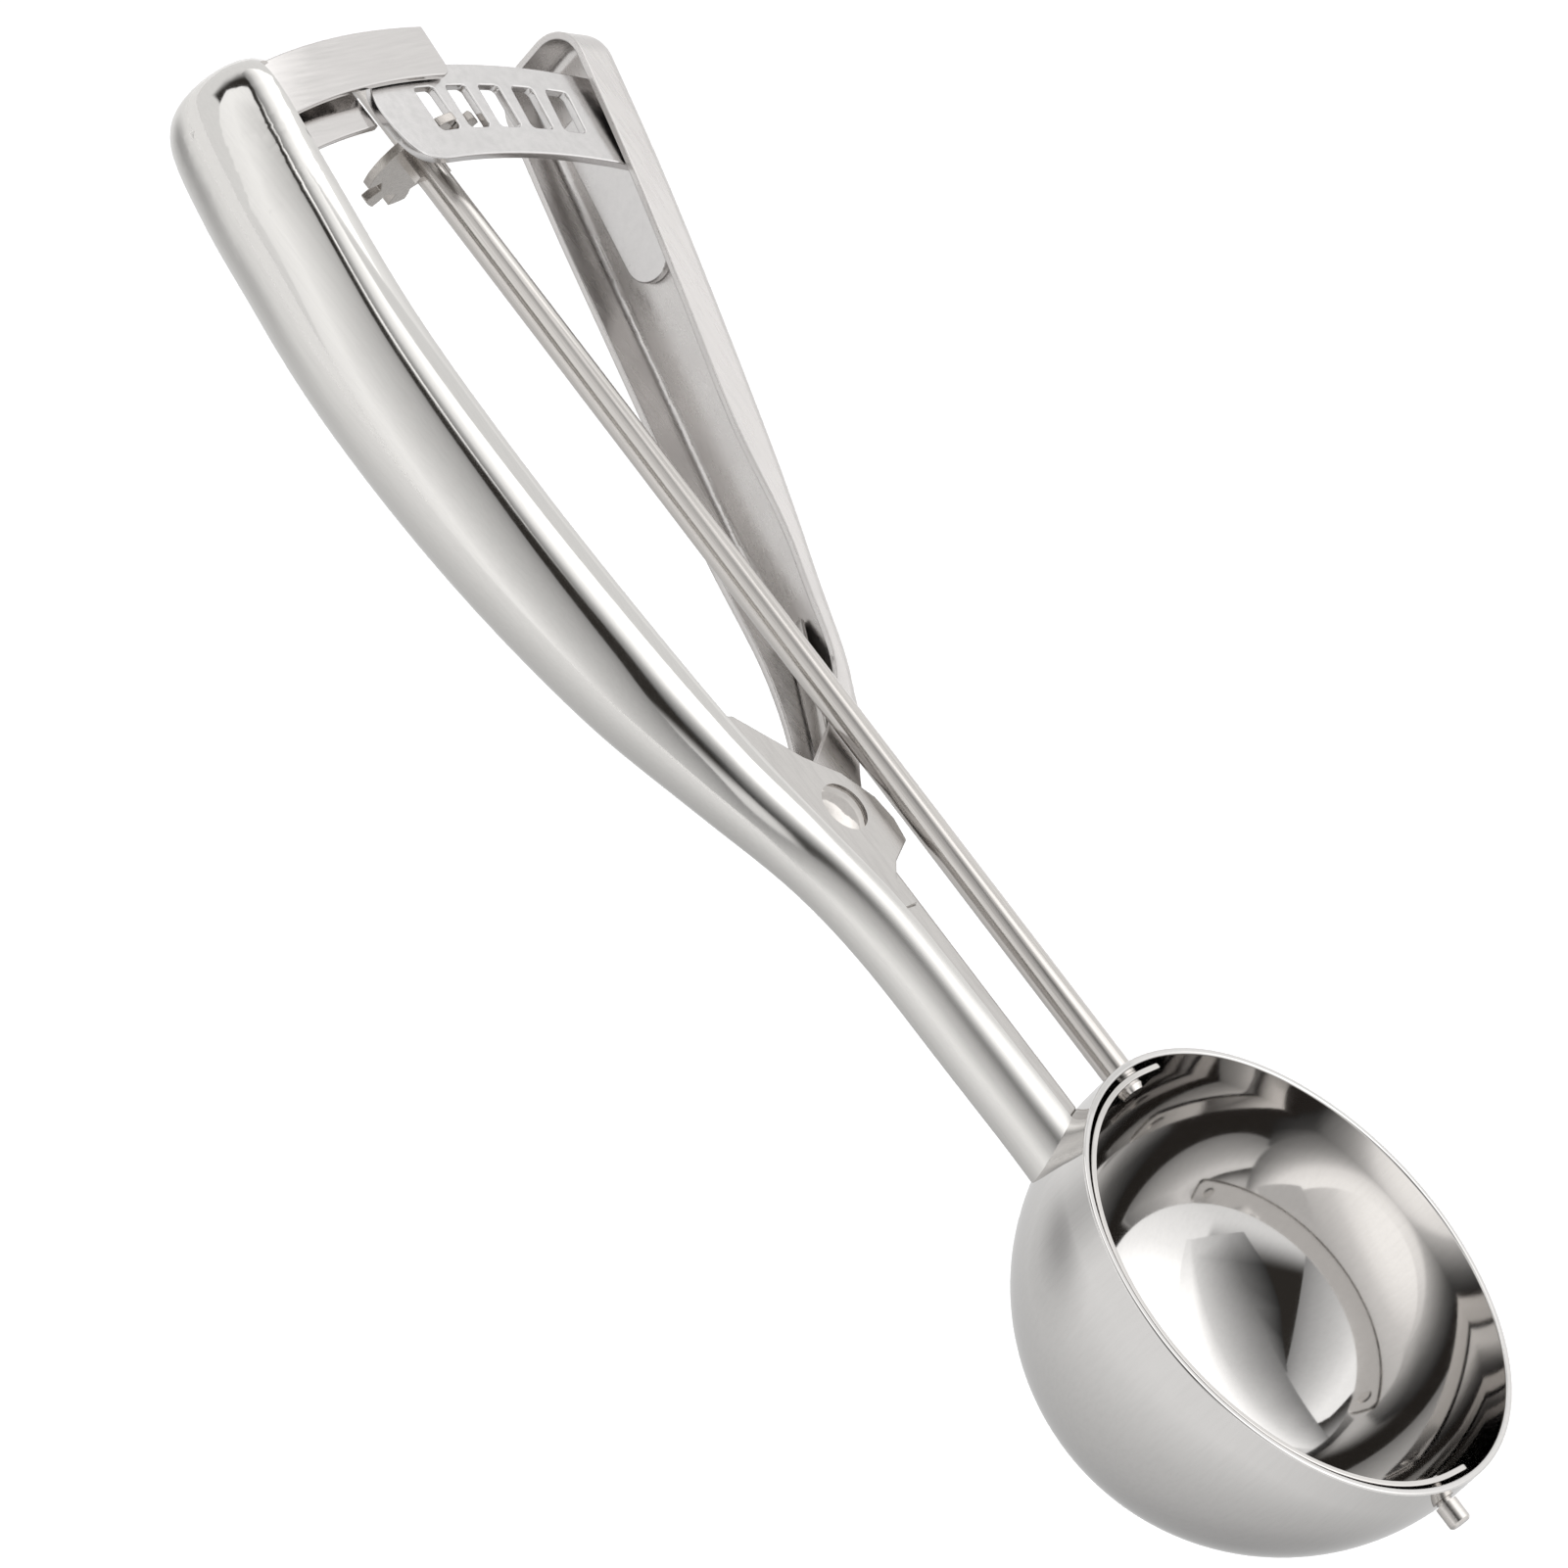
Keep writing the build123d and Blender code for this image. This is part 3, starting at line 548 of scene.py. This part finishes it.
def eased(node, name, width):
    """A copy of a CAD piece with its sharp edges rounded over by this width in millimetres."""
    work = bmesh.new()
    work.from_mesh(nodes[node].data)
    bmesh.ops.remove_doubles(work, verts=work.verts, dist=merge_gap)
    bmesh.ops.dissolve_degenerate(work, edges=work.edges, dist=merge_gap)
    bmesh.ops.dissolve_limit(
        work, angle_limit=flat_angle, verts=work.verts, edges=work.edges, delimit={"NORMAL"}
    )
    sharp = [
        edge
        for edge in work.edges
        if len(edge.link_faces) == 2 and edge.calc_face_angle() > sharp_angle
    ]
    bmesh.ops.bevel(
        work,
        geom=sharp,
        offset=width / 1000,
        offset_type="OFFSET",
        segments=round_steps,
        profile=0.5,
        affect="EDGES",
        clamp_overlap=False,
        loop_slide=True,
        miter_outer="ARC",
    )
    bmesh.ops.remove_doubles(work, verts=work.verts, dist=merge_gap)
    mesh = bpy.data.meshes.new(name)
    work.to_mesh(mesh)
    work.free()
    mesh.polygons.foreach_set("use_smooth", [True] * len(mesh.polygons))
    piece = mesh_piece(name, mesh)
    weighting = piece.modifiers.new("weighting", "WEIGHTED_NORMAL")
    weighting.weight = face_weight
    settled(piece)
    piece.data.materials.clear()
    return piece


scraper = eased("scraper", "scraper_band", 0.18)
scraper_steel, _ = steel("bright_rolled_strip", "#D2CFCC", 0.1, (4.0, 4.0, 0.2), 0.001, 0.05)
scraper.data.materials.append(scraper_steel)
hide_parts("scraper")
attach(scraper, "sweep")


# Scraper pin: a turned pin with a plain head outside the bowl, riveted into the band's far tab.
# Turning leaves fine rings round it, which spread its highlight.
def dress(node, material):
    """Gives a CAD piece this material all over."""
    nodes[node].data.materials.clear()
    nodes[node].data.materials.append(material)


pin_steel, _ = steel("turned_stainless", "#CDC9C5", 0.22, (0.15, 3.0, 3.0), 0.003, 0.12)
dress("scraper_pin", pin_steel)

# Drive rod: a 4 mm drawn bar, riveted into the band's near tab and shouldered for the pinion.
# Drawing and wiping leave long lines, so its highlight is a soft streak from end to end.
rod_steel, _ = steel("drawn_stainless_bar", "#CFCBC7", 0.2, (18.0, 0.22, 0.22), 0.004, 0.12)
dress("drive_rod", rod_steel)

# Pinion: a slotted disc stamped from thin sheet and pressed onto the rod's upper end.
# Stamped edges are torn grey below their bright roll-over.
pinion = eased("pinion", "stamped_pinion", 0.12)
pinion_steel, _ = steel("stamped_sheet_stainless", "#B7B2AD", 0.26, (0.5, 0.5, 0.5), 0.006, 0.16)
pinion.data.materials.append(pinion_steel)
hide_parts("pinion")
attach(pinion, "sweep")

# Rack: a curved plate stamped from 1.2 mm sheet with five windows, bent and welded to the lever's floor.
# It was tumbled after stamping, which leaves it satin, with bright rounded edges round each window.
rack = eased("rack", "windowed_rack", 0.22)
rack_steel, _ = steel("tumbled_sheet_stainless", "#D0CECD", 0.22, (1.2, 1.2, 1.2), 0.0015, 0.05)
rack.data.materials.append(rack_steel)
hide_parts("rack")
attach(rack, "lever")

# Rack guide: one strip of 1 mm sheet bent into a channel over the rack, fixed in the main handle's top.
# Its outer bend was polished with the handle, and its inner sheets keep the mill finish.
guide = eased("rack_guide", "bent_rack_guide", 0.25)
guide_steel, _ = steel("polished_bent_sheet", "#CFCCCA", 0.13, (0.5, 8.0, 0.5), 0.0012, 0.04)
guide.data.materials.append(guide_steel)
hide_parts("rack_guide")
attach(guide, "handle")

# Main handle: a slotted tube pressed from 1 mm sheet, closed by a dome, with a neck welded to the bowl.
# The grip is buffed to a mirror, and the neck is only belted, so it is duller and lined along its length.
# Each section has its place along X, its middle's Y, and its half depth and half width, in millimetres.
# They give the skin's true direction, which fades in and out along X and keeps the mirrored lines smooth.
handle_sections = (
    (22.0, 12.3, 4.75, 4.6),
    (44.0, 12.7, 4.75, 4.6),
    (61.0, 13.3, 4.75, 4.6),
    (73.0, 15.9, 4.8, 4.65),
    (86.0, 21.8, 5.7, 5.55),
    (102.0, 27.7, 7.25, 7.05),
    (125.0, 33.0, 8.4, 8.15),
    (150.0, 35.4, 8.9, 8.6),
    (174.0, 33.7, 8.85, 8.75),
)
handle_mid_z = -9.2
handle_rise_start = 74.0
handle_rise = 0.075
slope_step = 3.0
skin_margin = 0.05
facet_limit = 0.0016
facet_passes = 3
crease = math.radians(32)
fade_in = (24.0, 28.0)
fade_out = (166.0, 173.0)


def handle_shape(x):
    """The tube's middle Y and Z, half depth and half width at x, on smooth curves through the sections."""
    x = min(max(x, handle_sections[0][0]), handle_sections[-1][0] - 0.001)
    index = max(i for i, row in enumerate(handle_sections[:-1]) if row[0] <= x)
    low = handle_sections[index]
    high = handle_sections[index + 1]
    before = handle_sections[max(0, index - 1)]
    after = handle_sections[min(len(handle_sections) - 1, index + 2)]
    span = high[0] - low[0]
    t = (x - low[0]) / span
    values = []
    for column in (1, 2, 3):
        lean_low = (high[column] - before[column]) / (high[0] - before[0]) * span
        lean_high = (after[column] - low[column]) / (after[0] - low[0]) * span
        straight = low[column] * (1 + 2 * t) * (1 - t) ** 2 + high[column] * t * t * (3 - 2 * t)
        values.append(straight + lean_low * t * (1 - t) ** 2 + lean_high * t * t * (t - 1))
    rise = handle_mid_z + handle_rise * max(0.0, x - handle_rise_start)
    return Vector((values[0], rise, values[1], values[2]))


def tube_normal(place):
    """The true direction of the tube's outer skin at a place, and its share of the way out to the skin."""
    x = place.x * 1000
    mid_y, mid_z, depth, width = handle_shape(x)
    slope_y, slope_z, slope_depth, slope_width = (
        handle_shape(x + slope_step) - handle_shape(x - slope_step)
    ) / (2 * slope_step)
    over_y = (place.y * 1000 - mid_y) / depth
    over_z = (place.z * 1000 - mid_z) / width
    lean_y = over_y / depth * (slope_y + over_y * slope_depth)
    lean_z = over_z / width * (slope_z + over_z * slope_width)
    outward = Vector((-lean_y - lean_z, over_y / depth, over_z / width)).normalized()
    return outward, math.hypot(over_y, over_z)


handle_work = bmesh.new()
handle_work.from_mesh(nodes["main_handle"].data)
bmesh.ops.remove_doubles(handle_work, verts=handle_work.verts, dist=merge_gap)
bmesh.ops.dissolve_degenerate(handle_work, edges=handle_work.edges, dist=merge_gap)
for edge in handle_work.edges:
    edge.smooth = len(edge.link_faces) == 2 and edge.calc_face_angle() < crease
for _ in range(facet_passes):
    long_edges = [edge for edge in handle_work.edges if edge.smooth and edge.calc_length() > facet_limit]
    bmesh.ops.subdivide_edges(handle_work, edges=long_edges, cuts=1)
    bmesh.ops.triangulate(handle_work, faces=handle_work.faces)
bmesh.ops.dissolve_degenerate(handle_work, edges=handle_work.edges, dist=merge_gap)
bmesh.ops.triangulate(handle_work, faces=handle_work.faces)
handle_mesh = bpy.data.meshes.new("slotted_tube_handle")
handle_work.to_mesh(handle_mesh)
handle_work.free()
handle_mesh.polygons.foreach_set("use_smooth", [True] * len(handle_mesh.polygons))
handle = mesh_piece("slotted_tube_handle", handle_mesh)
handle_normals = [corner.vector.copy() for corner in handle_mesh.corner_normals]
for face in handle_mesh.polygons:
    for corner in face.loop_indices:
        place = handle_mesh.vertices[handle_mesh.loops[corner].vertex_index].co
        true_normal, outward_share = tube_normal(place)
        on_skin = abs(outward_share - 1) < skin_margin
        if on_skin and face.normal.dot(true_normal) > math.cos(crease):
            x = place.x * 1000
            share = min(
                (x - fade_in[0]) / (fade_in[1] - fade_in[0]),
                (fade_out[1] - x) / (fade_out[1] - fade_out[0]),
            )
            share = min(max(share, 0.0), 1.0)
            handle_normals[corner] = handle_normals[corner].lerp(true_normal, share).normalized()
handle_mesh.normals_split_custom_set(handle_normals)
neck_end = 0.058
grip_start = 0.09
neck_roughness = 0.27
handle_steel, handle_nodes = steel(
    "buffed_stainless_tube", "#D6D4D1", 0.085, (14.0, 0.3, 0.3), 0.0001, 0.03
)
handle_tree = handle_steel.node_tree
handle_parts = add_node(handle_tree, "ShaderNodeSeparateXYZ", {}, {0: handle_nodes["where"]})
neck_share = add_node(
    handle_tree,
    "ShaderNodeMapRange",
    {"interpolation_type": "SMOOTHSTEP", "From Min": grip_start, "From Max": neck_end},
    {"Value": handle_parts.outputs["X"]},
)
handle_level = add_node(
    handle_tree,
    "ShaderNodeMix",
    {"data_type": "FLOAT", 3: neck_roughness},
    {0: neck_share.outputs[0], 2: handle_nodes["level"].outputs[0]},
)
handle_tree.links.new(handle_level.outputs[0], handle_nodes["body"].inputs["Roughness"])
handle_mesh.materials.append(handle_steel)
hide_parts("main_handle")
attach(handle, "handle")

# Pivot bracket: a U channel of 1 mm sheet in the neck's slot, spread into two ears for the rivet.
# The sheet keeps its mill finish, brightened by tumbling.
bracket = eased("pivot_bracket", "eared_bracket", 0.2)
bracket_steel, _ = steel("mill_finish_sheet", "#C6C3C0", 0.2, (5.0, 0.7, 5.0), 0.003, 0.1)
bracket.data.materials.append(bracket_steel)
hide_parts("pivot_bracket")
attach(bracket, "handle")

# Pivot rivet: a 4 mm rivet through both pairs of ears, its heads domed over in a press.
# The heads are bright and a little uneven from the punch.
rivet_steel, _ = steel("headed_rivet_stainless", "#C2BEBA", 0.08, (1.6, 1.6, 1.6), 0.02, 0.1)
dress("pivot_rivet", rivet_steel)

# Lever: a channel pressed from 1 mm sheet, open towards the rod, with a round end and two ears.
# It is satin all over, and its floor carries long drawing lines from the press.
lever = eased("lever_handle", "pressed_lever", 0.22)
lever_steel, _ = steel("pressed_satin_sheet", "#CDCAC8", 0.28, (12.0, 0.6, 0.6), 0.003, 0.05)
lever.data.materials.append(lever_steel)
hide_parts("lever_handle")
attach(lever, "lever")

# Lever spring: a leaf of grey spring strip folded round the rivet, with one arm in each handle.
# The real leaf isn't fixed and bends as the handles close; this mesh keeps one shape.
spring_pivot = (76.75, 9.85)
spring_mid_z = -9.2
spring_turn = 2.6
spring_thickness = 0.6
spring_width = 3.0
spring_lever_tip = (102.91, -11.02)
spring_handle_tip = (103.0, 32.13)
spring_steps = 40
spring_round = spring_thickness / 4
spring_sharp = math.radians(60)
spring_work = bmesh.new()
lever_arm = Vector(spring_lever_tip) - Vector(spring_pivot)
handle_arm = Vector(spring_handle_tip) - Vector(spring_pivot)
lever_touch = math.atan2(lever_arm.y, lever_arm.x) - math.acos(spring_turn / lever_arm.length)
handle_touch = math.atan2(handle_arm.y, handle_arm.x) + math.acos(spring_turn / handle_arm.length)
fold = 2 * math.pi + lever_touch - handle_touch
spring_line = []
for i in range(spring_steps + 1):
    angle = handle_touch + fold * i / spring_steps
    spring_line.append(Vector((math.cos(angle), math.sin(angle))) * spring_turn)
handle_run = [handle_arm.lerp(spring_line[0], i / spring_steps) for i in range(spring_steps)]
lever_run = [spring_line[-1].lerp(lever_arm, i / spring_steps) for i in range(1, spring_steps + 1)]
spring_line = [*handle_run, *spring_line, *lever_run]
spring_rows = []
for i, point in enumerate(spring_line):
    ahead = spring_line[min(i + 1, len(spring_line) - 1)]
    behind = spring_line[max(i - 1, 0)]
    run = (ahead - behind).normalized()
    side = Vector((-run.y, run.x)) * spring_thickness / 2
    row = []
    for offset, height in ((side, -1), (side, 1), (-side, 1), (-side, -1)):
        corner = Vector(spring_pivot) + point + offset
        row.append(
            spring_work.verts.new(
                Vector((corner.x, corner.y, spring_mid_z + height * spring_width / 2)) / 1000
            )
        )
    spring_rows.append(row)
for row, following in zip(spring_rows, spring_rows[1:]):
    for i in range(4):
        j = (i + 1) % 4
        spring_work.faces.new((row[i], row[j], following[j], following[i]))
spring_work.faces.new(spring_rows[0])
spring_work.faces.new(spring_rows[-1])
bmesh.ops.recalc_face_normals(spring_work, faces=spring_work.faces)
spring_edges = [edge for edge in spring_work.edges if edge.calc_face_angle(0) > spring_sharp]
bmesh.ops.bevel(
    spring_work,
    geom=spring_edges,
    offset=spring_round / 1000,
    offset_type="OFFSET",
    segments=2,
    profile=0.5,
    affect="EDGES",
    clamp_overlap=True,
)
spring_mesh = bpy.data.meshes.new("folded_leaf_spring")
spring_work.to_mesh(spring_mesh)
spring_work.free()
spring_mesh.polygons.foreach_set("use_smooth", [True] * len(spring_mesh.polygons))
spring = mesh_piece("folded_leaf_spring", spring_mesh)
spring_steel, _ = steel("rolled_spring_strip", "#B4B1AE", 0.22, (6.0, 6.0, 0.2), 0.003, 0.12)
spring_mesh.materials.append(spring_steel)
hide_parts("lever_spring")
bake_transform(spring)
